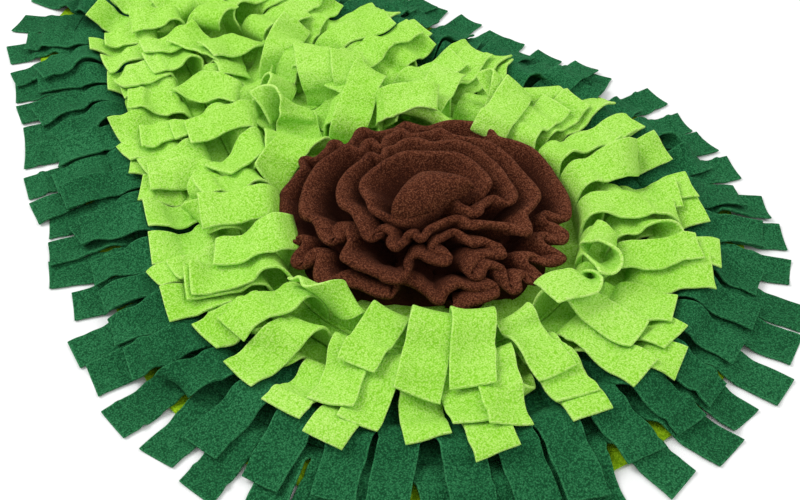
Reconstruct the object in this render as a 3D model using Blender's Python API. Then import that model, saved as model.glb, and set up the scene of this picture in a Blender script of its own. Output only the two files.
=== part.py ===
"""Avocado snuffle mat: a pear-shaped backing, rings of comb-cut fleece fringe and a wound fleece rosette.

Metres, +Z up, the narrow end towards +Y. Plan shapes are worked out about the centre of the wide end,
and an empty then carries everything to the middle of the finished mat's own box, standing on z = 0.
"""

import math

import bpy
import numpy as np

# The line of the fringe's tips: two circles joined by their outer tangents.
WIDE_RADIUS = 0.2322
NARROW_RADIUS = 0.1524
CENTRES_APART = 0.3023

# Cloth
FLEECE = 0.0020  # thickness of the cut strips
BACKING_INSET = 0.027  # from the line of the tips to the backing's edge
BACKING_THICKNESS = 0.0025
CLEAR = 0.0003  # between pieces that lie on each other
LAY_CLEAR = 0.0008  # between a strip and the cloth it is laid over
STRIP_WIDTH = 0.0250
SEAM_WIDTH = 0.005  # the sewn strip that a band's fringe hangs from
SEAM_SLANT = 0.0014  # how far a raised band's root face leans back
SEAM_BOTTOM = BACKING_THICKNESS + CLEAR
ARC_STEP = math.radians(6)

# Rings of fringe, from the rim inwards. inset: from the line of the tips to the root. count: strips in the
# ring. length: of a strip, root to tip. lift: how high it humps, least and most. swing: how far it may turn
# aside, degrees. roll: how far one edge may stand above the other, degrees. trim: how much shorter it may be.
RIM_OUTER = {
    "name": "rim_fringe_outer",
    "inset": 0.052,
    "count": 57,
    "hump_at": 0.43,
    "floor_at": 0.78,
    "hump": (0.0062, 0.0095),
    "trim": 0.10,
    "steps": 3,
}
RAISED_RINGS = [
    {"name": "rim_fringe_inner", "inset": 0.078, "count": 51, "length": 0.056, "steps": 4,
     "lift": (0.005, 0.011), "swing": 5, "roll": 3, "trim": 0.08, "colour": "dark"},
    {"name": "flesh_fringe_outer", "inset": 0.104, "count": 44, "length": 0.064, "steps": 5,
     "lift": (0.010, 0.017), "swing": 15, "roll": 7, "trim": 0.16, "colour": "light"},
    {"name": "flesh_fringe_middle", "inset": 0.119, "count": 40, "length": 0.067, "steps": 5,
     "lift": (0.012, 0.019), "swing": 18, "roll": 8, "trim": 0.18, "colour": "light"},
    {"name": "flesh_fringe_inner", "inset": 0.134, "count": 37, "length": 0.070, "steps": 5,
     "lift": (0.014, 0.022), "swing": 18, "roll": 8, "trim": 0.20, "colour": "light"},
]

# Straight bands in rows across the narrow part, between the pit and the narrow end.
NECK = {"first": 0.113, "apart": 0.0235, "rows": 8, "side_clear": 0.004, "pitch": 0.0264,
        "length": 0.064, "steps": 5, "lift": (0.014, 0.022), "swing": 24, "roll": 7, "trim": 0.22}

# The pit: a doubled strip, gathered and wound into a spiral that leans outwards.
ROSETTE = {"centre_y": 0.0092, "core": 0.0065, "outer": 0.0825, "turns": 5, "waves": 14,
           "depth": 0.0066, "deepest_towards": math.radians(195), "height": 0.051,
           "rim_drop": 0.010, "lean": 0.0050, "foot": 0.0032, "fold": 0.0048, "steps_a_turn": 64}

PILE_CELL = 0.0010
SEED = 11

COLOURS = {
    "backing": ((0.305, 0.515, 0.007), 0.9),
    "dark": ((0.019, 0.162, 0.058), 0.95),
    "light": ((0.292, 0.761, 0.078), 0.95),
    "brown": ((0.102, 0.026, 0.013), 0.95),
}


def fleece_material(name):
    colour, roughness = COLOURS[name]
    material = bpy.data.materials.new(f"{name}_fleece")
    material.use_nodes = True
    shader = material.node_tree.nodes["Principled BSDF"]
    shader.inputs["Base Color"].default_value = (*colour, 1.0)
    shader.inputs["Roughness"].default_value = roughness
    shader.inputs["Metallic"].default_value = 0.0
    return material


def mesh_object(name, points, faces, material, carrier):
    mesh = bpy.data.meshes.new(name)
    mesh.from_pydata([tuple(map(float, point)) for point in points], [], faces)
    mesh.validate()
    mesh.materials.append(material)
    made = bpy.data.objects.new(name, mesh)
    made.parent = carrier
    bpy.context.scene.collection.objects.link(made)
    return made


# --- the pear outline ---


def taper():
    """Half the angle between the two straight flanks."""
    return math.asin((WIDE_RADIUS - NARROW_RADIUS) / CENTRES_APART)


def half_lengths(inset):
    """Lengths of the wide arc, the flank and the narrow arc on one side, from the wide end's middle."""
    return ((WIDE_RADIUS - inset) * (math.pi / 2 + taper()),
            CENTRES_APART * math.cos(taper()),
            (NARROW_RADIUS - inset) * (math.pi / 2 - taper()))


def outline_at(inset, distance):
    """Point on the pear drawn in by inset, and the angle of its outward normal, at a distance along it."""
    wide_arc, flank, narrow_arc = half_lengths(inset)
    half = wide_arc + flank + narrow_arc
    distance = distance % (2 * half)
    mirrored = distance > half
    along = 2 * half - distance if mirrored else distance
    if along < wide_arc:
        angle = along / (WIDE_RADIUS - inset) - math.pi / 2
        centre_y, radius, slide = 0.0, WIDE_RADIUS - inset, 0.0
    elif along < wide_arc + flank:
        angle = taper()
        centre_y, radius, slide = 0.0, WIDE_RADIUS - inset, along - wide_arc
    else:
        angle = (along - wide_arc - flank) / (NARROW_RADIUS - inset) + taper()
        centre_y, radius, slide = CENTRES_APART, NARROW_RADIUS - inset, 0.0
    x = radius * math.cos(angle) - slide * math.sin(angle)
    y = centre_y + radius * math.sin(angle) + slide * math.cos(angle)
    return (-x, y, math.pi - angle) if mirrored else (x, y, angle)


def inset_of(x, y):
    """How far inside the line of the tips a point lies."""
    x = np.abs(x)
    slope = math.sin(taper())
    rise = math.cos(taper())
    along = y * rise - x * slope
    wide = WIDE_RADIUS - np.hypot(x, y)
    narrow = NARROW_RADIUS - np.hypot(x, y - CENTRES_APART)
    flank = WIDE_RADIUS - x * rise - y * slope
    return np.where(along < 0, wide, np.where(along > CENTRES_APART * rise, narrow, flank))


def flank_half_width(inset, y):
    """Half the width between the flanks of the pear drawn in by inset."""
    return (WIDE_RADIUS - inset - y * math.sin(taper())) / math.cos(taper())


# --- the pile that strips are laid over ---


class Pile:
    """Heights of the cloth laid so far, on a square grid over the mat."""

    reach = 0.02

    def __init__(self):
        self.left = -WIDE_RADIUS - self.reach
        self.low = -WIDE_RADIUS - self.reach
        across = np.arange(self.left, -self.left, PILE_CELL)
        along = np.arange(self.low, CENTRES_APART + NARROW_RADIUS + self.reach, PILE_CELL)
        x, y = np.meshgrid(across, along, indexing="ij")
        on_backing = inset_of(x, y) > BACKING_INSET - 2 * PILE_CELL
        self.heights = np.where(on_backing, BACKING_THICKNESS, 0.0)

    def cells(self, points):
        columns = ((points[..., 0] - self.left) / PILE_CELL).astype(int)
        rows = ((points[..., 1] - self.low) / PILE_CELL).astype(int)
        return columns, rows

    def ridge(self, points):
        """The highest cloth across each line of the points."""
        return self.heights[self.cells(points)].max(axis=1)

    def cover(self, points):
        """Raises the cells under these points, and the cells round them, to the points' height."""
        columns, rows = self.cells(points)
        for side in (-1, 0, 1):
            for end in (-1, 0, 1):
                np.maximum.at(self.heights, (columns + side, rows + end), points[..., 2])


def patch(corners, along=17, across=29):
    """Points spread evenly over the four-cornered patch between two edges."""
    u = np.linspace(0, 1, along)[:, None, None]
    v = np.linspace(0, 1, across)[None, :, None]
    (near_left, near_right), (far_left, far_right) = corners
    near = near_left * (1 - v) + near_right * v
    far = far_left * (1 - v) + far_right * v
    return near * (1 - u) + far * u


# --- strips ---


def strip_plan(root, heading, swing, advances):
    """Centre points of a strip in plan: straight out for its first step, then turned aside by its swing."""
    headings = heading + swing * np.clip(np.arange(len(advances)) / 2, 0, 1)
    steps = advances[:, None] * np.stack([np.cos(headings), np.sin(headings)], axis=1)
    centres = np.vstack([root, root + np.cumsum(steps, axis=0)])
    return centres, np.concatenate([[heading], headings])


def edges(centres, turned, width):
    side = np.stack([np.sin(turned), -np.cos(turned)], axis=1) * width / 2
    return centres - side, centres + side


def sections(centres, turned, left_z, right_z, width):
    """Corners of a strip at each station: under left, under right, top right, top left."""
    left, right = edges(centres, turned, width)
    middle = (left_z + right_z) / 2
    run = np.linalg.norm(np.diff(centres, axis=0), axis=1)
    pitch = np.arctan2(np.diff(middle), run)
    pitch = np.concatenate([[pitch[0]], (pitch[:-1] + pitch[1:]) / 2, [pitch[-1]]])
    ahead = np.stack([np.cos(turned), np.sin(turned)], axis=1)
    up = np.concatenate([-np.sin(pitch)[:, None] * ahead, np.cos(pitch)[:, None]], axis=1) * FLEECE
    under_left = np.column_stack([left, left_z])
    under_right = np.column_stack([right, right_z])
    return np.stack([under_left, under_right, under_right + up, under_left + up], axis=1)


def lift_clear(z, near, needed):
    """Raises the ends of one step of a strip until the straight run between them clears what is needed."""
    share = np.linspace(0, 1, len(needed))
    if near == 0:
        away = share > 0.2
        z[1] = max(z[1], np.max(z[0] + (needed[away] - z[0]) / share[away]))
        return
    for _ in range(len(needed)):
        short = needed - (z[near] * (1 - share) + z[near + 1] * share)
        worst = int(np.argmax(short))
        if short[worst] <= 0:
            return
        near_part, far_part = 1 - share[worst], share[worst]
        raised = 1.001 * short[worst] / (near_part**2 + far_part**2)
        z[near] += raised * near_part
        z[near + 1] += raised * far_part


def laid_strip(root, heading, row, draws, below, own):
    """Sections of a strip that humps out from its root and then rests on the cloth already there."""
    steps = row["steps"]
    length = row["length"] * (1 - row["trim"] * draws["trim"])
    swing = math.radians(row["swing"]) * draws["swing"]
    lift = row["lift"][0] + (row["lift"][1] - row["lift"][0]) * draws["lift"]
    share = np.linspace(0, 1, steps + 1)
    hump = SEAM_BOTTOM + lift * np.sin(math.pi * share**0.7)
    step = length / steps
    advances = np.full(steps, step * 0.8)
    for _ in range(5):
        centres, turned = strip_plan(root, heading, swing, advances)
        left, right = edges(centres, turned, STRIP_WIDTH)
        z = hump.copy()
        for near in range(steps):
            under = patch(((left[near], right[near]), (left[near + 1], right[near + 1])))
            ridge = below.ridge(under) if near == 0 else np.maximum(below.ridge(under), own.ridge(under))
            lift_clear(z, near, ridge + LAY_CLEAR)
        climbs = np.diff(z)
        advances = np.sqrt(np.maximum(step**2 - climbs**2, (0.3 * step) ** 2))
    tilt = math.tan(math.radians(row["roll"]) * draws["roll"]) * STRIP_WIDTH
    tilts = tilt * np.clip(share * 2 - 0.4, 0, 1)
    corners = sections(centres, turned, z + np.maximum(tilts, 0), z + np.maximum(-tilts, 0), STRIP_WIDTH)
    for near, far in zip(corners[:-1], corners[1:]):
        own.cover(patch(((near[3], near[2]), (far[3], far[2]))))
    return corners


def rim_strip(root, heading, row, draws):
    """Sections of a strip that humps over the backing's edge and lies level on the floor to its tip."""
    length = row["inset"] * (1 - row["trim"] * draws["trim"])
    reaches = np.array([0.0, row["hump_at"] * row["inset"], row["floor_at"] * row["inset"], length])
    centres = root + reaches[:, None] * np.array([math.cos(heading), math.sin(heading)])
    hump = row["hump"][0] + (row["hump"][1] - row["hump"][0]) * draws["lift"]
    z = np.array([SEAM_BOTTOM, hump, 0.0, 0.0])
    return sections(centres, np.full(4, heading), z, z, STRIP_WIDTH)


# --- bands: a sewn strip with its fringe standing from one side ---


def seam_section(x, y, angle, slant):
    """Corners of the sewn strip: inner bottom, outer bottom, outer top, inner top."""
    out = np.array([math.cos(angle), math.sin(angle), 0.0])
    foot = np.array([x, y, SEAM_BOTTOM])
    rise = np.array([0.0, 0.0, FLEECE])
    return [foot - out * SEAM_WIDTH, foot, foot + rise - out * slant, foot + rise - out * SEAM_WIDTH]


def band(name, seams, strips, closed, material, carrier):
    """One solid: seam sections two for each strip, and each strip grown from the face between its two."""
    points = [corner for section in seams for corner in section]
    faces = []
    last = len(seams)
    for here in range(last if closed else last - 1):
        a, b = 4 * here, 4 * ((here + 1) % last)
        sides = [0, 2, 3] if here % 2 == 0 else [0, 1, 2, 3]
        faces += [(a + side, b + side, b + (side + 1) % 4, a + (side + 1) % 4) for side in sides]
    if not closed:
        end = 4 * (last - 1)
        faces += [(0, 1, 2, 3), (end + 3, end + 2, end + 1, end)]
    for number, corners in enumerate(strips):
        a, b = 8 * number, 8 * number + 4
        ring = [b + 1, a + 1, a + 2, b + 2]
        for section in corners[1:]:
            start = len(points)
            points += list(section)
            following = [start, start + 1, start + 2, start + 3]
            faces += [(ring[side], following[side], following[(side + 1) % 4], ring[(side + 1) % 4])
                      for side in range(4)]
            ring = following
        faces.append(tuple(ring[::-1]))
    made = mesh_object(name, points, faces, material, carrier)
    face_outwards(made)
    return made


def face_outwards(made):
    """Turns a closed mesh whose faces all point in."""
    mesh = made.data
    mesh.calc_loop_triangles()
    corners = np.array([[mesh.vertices[i].co for i in face.vertices] for face in mesh.loop_triangles])
    if np.linalg.det(corners).sum() < 0:
        mesh.flip_normals()


def ring_places(row):
    """Root point and heading of each strip of a ring, and the seam stations at each side of it."""
    half = sum(half_lengths(row["inset"]))
    pitch = 2 * half / row["count"]
    for number in range(row["count"]):
        middle = (number + 0.5) * pitch
        sides = [outline_at(row["inset"], middle + side * STRIP_WIDTH / 2) for side in (-1, 1)]
        heading = outline_at(row["inset"], middle)[2]
        root = np.mean([side[:2] for side in sides], axis=0)
        yield root, heading, sides


def drawn(random, count):
    """Each strip's own share of its row's trim, swing, lift and roll."""
    return [{"trim": random.uniform(0, 1), "swing": random.uniform(-1, 1),
             "lift": random.uniform(0, 1), "roll": random.uniform(-1, 1)} for _ in range(count)]


def turns_apart(count):
    """The order in which a band's strips are laid: every second one first."""
    return list(range(0, count, 2)) + list(range(1, count, 2))


def build_rim(random, pile, material, carrier):
    seams, strips = [], []
    draws = drawn(random, RIM_OUTER["count"])
    for number, (root, heading, sides) in enumerate(ring_places(RIM_OUTER)):
        seams += [seam_section(*side, 0.0) for side in sides]
        strips.append(rim_strip(root, heading, RIM_OUTER, draws[number]))
    for corners in strips:
        for near, far in zip(corners[:-1], corners[1:]):
            pile.cover(patch(((near[3], near[2]), (far[3], far[2]))))
    cover_seam(pile, seams, True)
    return band(RIM_OUTER["name"], seams, strips, True, material, carrier)


def cover_seam(pile, seams, closed):
    following = seams[1:] + seams[:1] if closed else seams[1:]
    for near, far in zip(seams, following):
        pile.cover(patch(((near[3], near[2]), (far[3], far[2])), across=7))


def copied(pile):
    other = Pile()
    other.heights = pile.heights.copy()
    return other


def build_raised_ring(row, random, pile, material, carrier):
    places = list(ring_places(row))
    seams = [seam_section(*side, SEAM_SLANT) for _, _, sides in places for side in sides]
    draws = drawn(random, row["count"])
    below = copied(pile)
    strips = [None] * row["count"]
    for number in turns_apart(row["count"]):
        root, heading, _ = places[number]
        strips[number] = laid_strip(root, heading, row, draws[number], below, pile)
    cover_seam(pile, seams, True)
    return band(row["name"], seams, strips, True, material, carrier)


def build_straight_band(name, start, along, heading, count, row, random, pile, material, carrier):
    """A band whose roots stand in a straight line from start, and whose strips all head the same way."""
    draws = drawn(random, count)
    places = [start + along * row["pitch"] * place for place in range(count)]
    seams = [seam_section(*(place + along * side * STRIP_WIDTH / 2), heading, SEAM_SLANT)
             for place in places for side in (-1, 1)]
    below = copied(pile)
    strips = [None] * count
    for place in turns_apart(count):
        strips[place] = laid_strip(places[place], heading, row, draws[place], below, pile)
    cover_seam(pile, seams, False)
    return band(name, seams, strips, False, material, carrier)


def build_neck_row(number, *shared):
    """A row across the narrow part. Its roots run from right to left, as a ring's do past the narrow end."""
    y = NECK["first"] + number * NECK["apart"]
    half_width = flank_half_width(RAISED_RINGS[-1]["inset"] + SEAM_WIDTH, y) - NECK["side_clear"]
    count = max(1, int(2 * half_width / NECK["pitch"]))
    start = np.array([(count - 1) / 2 * NECK["pitch"], y])
    name = f"neck_fringe_{number + 1:02d}"
    return build_straight_band(name, start, np.array([-1.0, 0.0]), math.pi / 2, count, NECK, *shared)


# --- the other pieces ---


def build_backing(material, carrier):
    """The pear drawn in from the tips, as one flat sheet."""
    turn = taper()
    wide = WIDE_RADIUS - BACKING_INSET
    narrow = NARROW_RADIUS - BACKING_INSET
    wide_steps = round(2 * (math.pi / 2 + turn) / ARC_STEP)
    narrow_steps = round(2 * (math.pi / 2 - turn) / ARC_STEP)
    wide_angles = np.linspace(math.pi - turn, 2 * math.pi + turn, wide_steps + 1)
    narrow_angles = np.linspace(turn, math.pi - turn, narrow_steps + 1)
    rim = [(wide * math.cos(a), wide * math.sin(a)) for a in wide_angles]
    rim += [(narrow * math.cos(a), CENTRES_APART + narrow * math.sin(a)) for a in narrow_angles]
    count = len(rim)
    points = [(x, y, z) for z in (0.0, BACKING_THICKNESS) for x, y in rim]
    faces = [tuple(reversed(range(count))), tuple(range(count, 2 * count))]
    faces += [(i, (i + 1) % count, count + (i + 1) % count, count + i) for i in range(count)]
    return mesh_object("backing", points, faces, material, carrier)


def build_rosette(material, carrier):
    """A wavy wall along a spiral: the folded edge on top, leaning out more the further out it winds."""
    turns = ROSETTE["turns"]
    angle = np.linspace(0, 2 * math.pi * turns, turns * ROSETTE["steps_a_turn"] + 1)
    out = angle / angle[-1]
    radius = ROSETTE["core"] + (ROSETTE["outer"] - ROSETTE["core"]) * out
    swell = np.clip((radius - 0.022) / 0.030, 0, 1)
    facing = 0.5 + 0.5 * np.cos(angle - ROSETTE["deepest_towards"])
    depth = ROSETTE["depth"] * swell * (0.35 + 0.65 * facing)
    radius = radius + depth * np.sin(ROSETTE["waves"] * angle)
    path = radius[:, None] * np.stack([np.cos(angle), np.sin(angle)], axis=1)
    heading = np.gradient(path, axis=0)
    heading /= np.linalg.norm(heading, axis=1)[:, None]
    outwards = np.stack([heading[:, 1], -heading[:, 0]], axis=1)
    radial = path / np.linalg.norm(path, axis=1)[:, None]
    leant = path + radial * (ROSETTE["lean"] * out)[:, None]
    top = ROSETTE["height"] - ROSETTE["rim_drop"] * out**2
    foot_z = np.full(len(angle), SEAM_BOTTOM)
    centre = np.array([0.0, ROSETTE["centre_y"]])
    corners = np.stack([
        np.column_stack([centre + path - outwards * ROSETTE["foot"] / 2, foot_z]),
        np.column_stack([centre + path + outwards * ROSETTE["foot"] / 2, foot_z]),
        np.column_stack([centre + leant + outwards * ROSETTE["fold"] / 2, top]),
        np.column_stack([centre + leant - outwards * ROSETTE["fold"] / 2, top]),
    ], axis=1)
    last = len(angle) - 1
    faces = [(4 * i + side, 4 * i + 4 + side, 4 * i + 4 + (side + 1) % 4, 4 * i + (side + 1) % 4)
             for i in range(last) for side in range(4)]
    faces += [(0, 1, 2, 3), (4 * last + 3, 4 * last + 2, 4 * last + 1, 4 * last)]
    made = mesh_object("pit_rosette", corners.reshape(-1, 3), faces, material, carrier)
    face_outwards(made)
    return made


def centre_on_box(carrier, pieces):
    """Moves the carrier so that the middle of the whole mat's box stands over the origin."""
    points = np.array([vertex.co[:] for piece in pieces for vertex in piece.data.vertices])
    middle = (points.min(axis=0) + points.max(axis=0)) / 2
    carrier.location = (-middle[0], -middle[1], 0.0)


def main():
    for old in list(bpy.data.objects):
        bpy.data.objects.remove(old)
    random = np.random.default_rng(SEED)
    materials = {name: fleece_material(name) for name in COLOURS}
    carrier = bpy.data.objects.new("mat_centre", None)
    bpy.context.scene.collection.objects.link(carrier)
    pile = Pile()
    pieces = [build_backing(materials["backing"], carrier),
              build_rim(random, pile, materials["dark"], carrier)]
    for row in RAISED_RINGS:
        pieces.append(build_raised_ring(row, random, pile, materials[row["colour"]], carrier))
    # Each row lies over the roots of the row beyond it, so the furthest row comes first.
    for number in reversed(range(NECK["rows"])):
        pieces.append(build_neck_row(number, random, pile, materials["light"], carrier))
    pieces.append(build_rosette(materials["brown"], carrier))
    centre_on_box(carrier, pieces)


main()
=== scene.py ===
import math
import time

import bmesh
import bpy
import numpy as np
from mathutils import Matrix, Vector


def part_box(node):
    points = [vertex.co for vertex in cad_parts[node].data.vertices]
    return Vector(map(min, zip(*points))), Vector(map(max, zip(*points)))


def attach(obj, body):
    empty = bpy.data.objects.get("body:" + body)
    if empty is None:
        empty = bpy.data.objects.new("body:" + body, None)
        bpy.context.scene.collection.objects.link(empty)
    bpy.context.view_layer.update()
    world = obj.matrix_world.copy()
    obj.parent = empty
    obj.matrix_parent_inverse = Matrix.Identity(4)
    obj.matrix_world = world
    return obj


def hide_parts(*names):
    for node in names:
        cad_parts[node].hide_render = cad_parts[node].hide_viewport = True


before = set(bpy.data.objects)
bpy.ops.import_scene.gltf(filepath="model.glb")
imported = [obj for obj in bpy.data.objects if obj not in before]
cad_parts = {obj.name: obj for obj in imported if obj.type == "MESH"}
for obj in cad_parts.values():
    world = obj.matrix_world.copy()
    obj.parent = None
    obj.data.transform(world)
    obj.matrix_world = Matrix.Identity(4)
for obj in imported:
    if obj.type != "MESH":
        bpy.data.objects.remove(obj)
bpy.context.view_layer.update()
started = time.time()


def report(stage):
    print(f"{stage}: {time.time() - started:.1f} s")


# The line of the fringe's tips is two circles joined by their outer tangents. Its place comes from the
# backing, which is the same shape drawn in by backingInset. firstSeam: how far in the outermost seam lies.
matPlan = {"wideRadius": 0.2322, "narrowRadius": 0.1524, "backingInset": 0.027, "firstSeam": 0.052}
backingLow, backingHigh = (np.array(corner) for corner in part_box("backing"))
middleX = (backingLow[0] + backingHigh[0]) / 2
wideY = backingLow[1] + matPlan["wideRadius"] - matPlan["backingInset"]
narrowY = backingHigh[1] - matPlan["narrowRadius"] + matPlan["backingInset"]
centresApart = narrowY - wideY
backingTop = backingHigh[2]
taper = math.asin((matPlan["wideRadius"] - matPlan["narrowRadius"]) / centresApart)
wideCentre = np.array([middleX, wideY])


def ringPlaces(inset, count):
    # Places spread evenly along the pear drawn in by inset: wide arc, flank, narrow arc, then mirrored.
    # Gives the points, the angle of the outward normal, the pitch and the radius of the line at each.
    wide = matPlan["wideRadius"] - inset
    narrow = matPlan["narrowRadius"] - inset
    wideArc = wide * (math.pi / 2 + taper)
    flank = centresApart * math.cos(taper)
    half = wideArc + flank + narrow * (math.pi / 2 - taper)
    along = (np.arange(count) + 0.5) * 2 * half / count
    mirrored = along > half
    along = np.where(mirrored, 2 * half - along, along)
    onWide = np.clip(along, 0, wideArc)
    onFlank = np.clip(along - wideArc, 0, flank)
    onNarrow = np.clip(along - wideArc - flank, 0, None)
    angle = -math.pi / 2 + onWide / wide + onNarrow / narrow
    radius = np.where(onNarrow > 0, narrow, wide)
    centreY = np.where(onNarrow > 0, narrowY, wideY)
    slide = np.where(onNarrow > 0, 0, onFlank)
    x = radius * np.cos(angle) - slide * np.sin(angle)
    y = centreY + radius * np.sin(angle) + slide * np.cos(angle)
    x = middleX + np.where(mirrored, -x, x)
    angle = np.where(mirrored, math.pi - angle, angle)
    bent = np.where(onNarrow > 0, narrow, np.where(onFlank > 0, 1e9, wide))
    return np.stack([x, y], axis=1), angle, 2 * half / count, bent


def flankHalfWidth(inset, y):
    # Half the width of the pear drawn in by inset, between its two arcs.
    return (matPlan["wideRadius"] - inset - (y - wideY) * math.sin(taper)) / math.cos(taper)


def insetOf(x, y):
    # How far inside the line of the tips a point lies.
    across = np.abs(x - middleX)
    ahead = y - wideY
    rise, slope = math.cos(taper), math.sin(taper)
    along = ahead * rise - across * slope
    wide = matPlan["wideRadius"] - np.hypot(across, ahead)
    narrow = matPlan["narrowRadius"] - np.hypot(across, y - narrowY)
    flank = matPlan["wideRadius"] - across * rise - ahead * slope
    return np.where(along < 0, wide, np.where(along > centresApart * rise, narrow, flank))


def added(name, data):
    # A new object of the scene.
    thing = bpy.data.objects.new(name, data)
    bpy.context.scene.collection.objects.link(thing)
    return thing


def meshPiece(name, points, quads, edge, material):
    # edge: how near each point is to a cut edge, which the materials lighten; on the rosette, how far up the
    # petal it lies, with painted shade below.
    mesh = bpy.data.meshes.new(name)
    mesh.vertices.add(len(points))
    mesh.vertices.foreach_set("co", np.ascontiguousarray(points, np.float32).ravel())
    mesh.loops.add(quads.size)
    mesh.loops.foreach_set("vertex_index", quads.ravel().astype(np.int32))
    mesh.polygons.add(len(quads))
    mesh.polygons.foreach_set("loop_start", np.arange(0, quads.size, 4, dtype=np.int32))
    mesh.update(calc_edges=True)
    mesh.validate()
    mesh.shade_smooth()
    # This attribute carries the strips' cut edges and, on the rosette, painted shade towards each petal's
    # foot.
    mesh.attributes.new("cutEdgeAndShade", "FLOAT", "POINT").data.foreach_set("value", edge.astype(np.float32))
    mesh.materials.append(material)
    piece = added(name, mesh)
    work = bmesh.new()
    work.from_mesh(mesh)
    bmesh.ops.recalc_face_normals(work, faces=work.faces)
    work.to_mesh(mesh)
    work.free()
    return piece


def tubeQuads(rings, around, closedAlong=False):
    # Quads of a grid of rings, each ring closed on itself. Open ends are capped flat: point k of the end
    # ring faces point around - 1 - k.
    ring = np.arange(rings if closedAlong else rings - 1)[:, None]
    place = np.arange(around)[None, :]
    following = (ring + 1) % rings
    beside = (place + 1) % around
    sides = np.stack([ring * around + place, ring * around + beside,
                      following * around + beside, following * around + place], axis=-1).reshape(-1, 4)
    if closedAlong:
        return sides
    low = np.arange(around // 2 - 1)
    cap = np.stack([around - 1 - low, around - 2 - low, low + 1, low], axis=1)
    return np.concatenate([sides, cap, cap[:, ::-1] + (rings - 1) * around])


def smoothWeights(count, at):
    # Catmull-Rom weights that read an evenly spaced row of count values at the given shares of its length.
    place = np.clip(np.asarray(at) * (count - 1), 0, count - 1 - 1e-9)
    start = place.astype(int)
    t = place - start
    basis = np.stack([-0.5 * t + t**2 - 0.5 * t**3, 1 - 2.5 * t**2 + 1.5 * t**3,
                      0.5 * t + 2 * t**2 - 1.5 * t**3, -0.5 * t**2 + 0.5 * t**3], axis=1)
    weights = np.zeros((len(place), count + 2))
    row = np.arange(len(place))
    for offset in range(4):
        weights[row, start + offset] += basis[:, offset]
    # The row is carried straight on past its ends.
    weights[:, 1] += 2 * weights[:, 0]
    weights[:, 2] -= weights[:, 0]
    weights[:, -2] += 2 * weights[:, -1]
    weights[:, -3] -= weights[:, -1]
    return weights[:, 1:-1]


# clear: how far the cloth stays from what it lies on. rowsAlong, rowsAcross: the points that a strip is
# worked out at. wander: how far the scissors stray.
fleece = {"thickness": 0.0021, "clear": 0.0003, "rowsAlong": 18, "rowsAcross": 5, "wander": 0.0002}
pileGrid = {"cell": 0.0015, "margin": 0.04}


class Pile:
    # Heights of the cloth laid so far, on a square grid over the mat and the floor round it.
    def __init__(self):
        wide, narrow, margin = matPlan["wideRadius"], matPlan["narrowRadius"], pileGrid["margin"]
        self.low = np.array([middleX - wide, wideY - wide]) - margin
        high = np.array([middleX + wide, narrowY + narrow]) + margin
        shape = np.ceil((high - self.low) / pileGrid["cell"]).astype(int)
        x = self.low[0] + pileGrid["cell"] * np.arange(shape[0])[:, None]
        y = self.low[1] + pileGrid["cell"] * np.arange(shape[1])[None, :]
        inset = insetOf(x, y)
        self.heights = np.where(inset > matPlan["backingInset"] - 0.002, backingTop, 0.0)
        # From the outermost seam inwards the headers of the fringes cover the backing.
        header = fleece["thickness"] + fleece["clear"]
        self.heights += np.where(inset > matPlan["firstSeam"] - 0.001, header, 0.0)

    def under(self, points):
        place = (points[..., :2] - self.low) / pileGrid["cell"]
        place = np.clip(place, 0, np.array(self.heights.shape) - 1.001)
        cell = place.astype(int)
        part = place - cell
        u, v = part[..., 0], part[..., 1]
        i, j = cell[..., 0], cell[..., 1]
        h = self.heights
        return (h[i, j] * (1 - u) * (1 - v) + h[i + 1, j] * u * (1 - v)
                + h[i, j + 1] * (1 - u) * v + h[i + 1, j + 1] * u * v)

    def cover(self, points, height):
        cell = np.round((points[..., :2] - self.low) / pileGrid["cell"]).astype(int)
        cell = np.clip(cell, 1, np.array(self.heights.shape) - 2)
        np.maximum.at(self.heights, (cell[..., 0], cell[..., 1]), points[..., 2] + height)

    def spread(self):
        # What cloth rests on: each cell takes the height of the highest within two cells, then the edges of
        # the steps are rounded off, because fleece bridges small hollows.
        h = self.heights
        for _ in range(2):
            for axis in (0, 1):
                h = np.maximum(h, np.maximum(np.roll(h, 1, axis), np.roll(h, -1, axis)))
        for _ in range(3):
            for axis in (0, 1):
                h = 0.5 * h + 0.25 * (np.roll(h, 1, axis) + np.roll(h, -1, axis))
        resting = Pile.__new__(Pile)
        resting.low, resting.heights = self.low, h
        return resting


# How strips settle. rounds: of pulls on their links in each step. pull: the fall of a step. grip: how much of
# a slip the cloth below stops. lift: the most that a sunk point rises in a step. diagonal, across, arch: how
# firm those links are.
settling = {"steps": 170, "rounds": 4, "pull": 0.0006, "damping": 0.92, "grip": 0.12, "lift": 0.0016,
            "flatness": 0.5, "diagonal": 0.6, "across": (0.8, 0.5), "arch": 0.7}
# What all rows share. evenly: the part of the bend that is spread along the whole strip. tipAt, tipWide:
# where its end bends. bendWide: how far its main bend spreads. skew, trim: how askew an end is cut, and how
# the width varies. moreLooped, hookedBy: degrees added to a tighter loop, and of a hooked end.
anyStrip = {"evenly": 0.12, "tipAt": 0.86, "tipWide": 0.09, "bendWide": 0.16, "skew": 0.14,
            "trim": (0.94, 1.04), "moreLooped": (50, 130), "hookedBy": (60, 115)}
# Degrees to both sides of the front where the slits start later, over how many that eases in, and how much
# more alike the strips are there.
frontPart = {"within": 62, "easedOver": 24, "alike": 0.8}
# Where up the neck the left flank's strips start to be shorter, over what length, and by what share.
flankTrim = {"from": 0.07, "over": 0.05, "share": 0.24}


def eased(share):
    # Rises smoothly from 0 to 1 as share does, and stays there beyond.
    share = np.clip(share, 0, 1)
    return share * share * (3 - 2 * share)


def turnedBy(angle, a, b):
    # Two axes at right angles, turned in their plane.
    return a * np.cos(angle) - b * np.sin(angle), b * np.cos(angle) + a * np.sin(angle)


def angleBetween(a, b):
    return np.abs((a - b + np.pi) % (2 * np.pi) - np.pi)


def uncutAlong(lot, share, more):
    # 1 before each strip's slits start, then 0.
    before = eased((lot["uncut"][:, None] + more - share[None, :]) * 12)
    return before * (lot["uncut"][:, None] > 0.03)


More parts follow.
